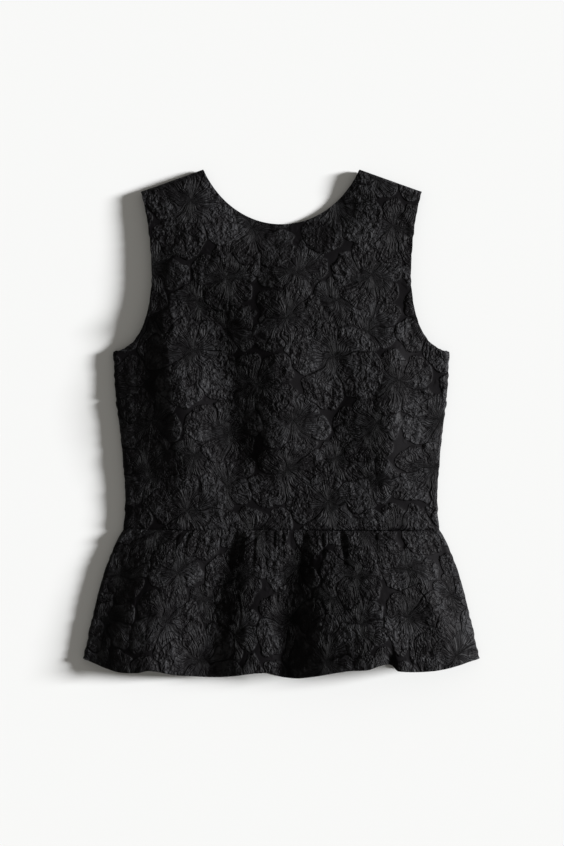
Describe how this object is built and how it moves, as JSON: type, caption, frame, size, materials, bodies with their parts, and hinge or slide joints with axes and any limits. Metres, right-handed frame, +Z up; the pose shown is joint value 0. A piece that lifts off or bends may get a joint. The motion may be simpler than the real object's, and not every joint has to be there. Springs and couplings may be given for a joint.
{
  "type": "peplum top",
  "caption": "Sleeveless peplum top in black flower cloque jacquard, laid flat front up, with a scoop neck, side bust darts and a gathered peplum below a straight waist seam.",
  "frame": {"origin": "on the table under the middle of the top, the centre of its bounding box in plan, at the level it rests on", "axes": "+X across the front to the right as it is seen from above, +Y from the hem to the shoulders, +Z up from the table"},
  "size_m": [0.5074, 0.6492, 0.045],
  "materials": {
    "jacquard_front": "satin",
    "jacquard_back": "satin"
  },
  "bodies": {
    "root": {"front_bodice": "jacquard_front", "back_bodice": "jacquard_back", "front_peplum": "jacquard_front", "back_peplum": "jacquard_back"}
  },
  "joints": []
}
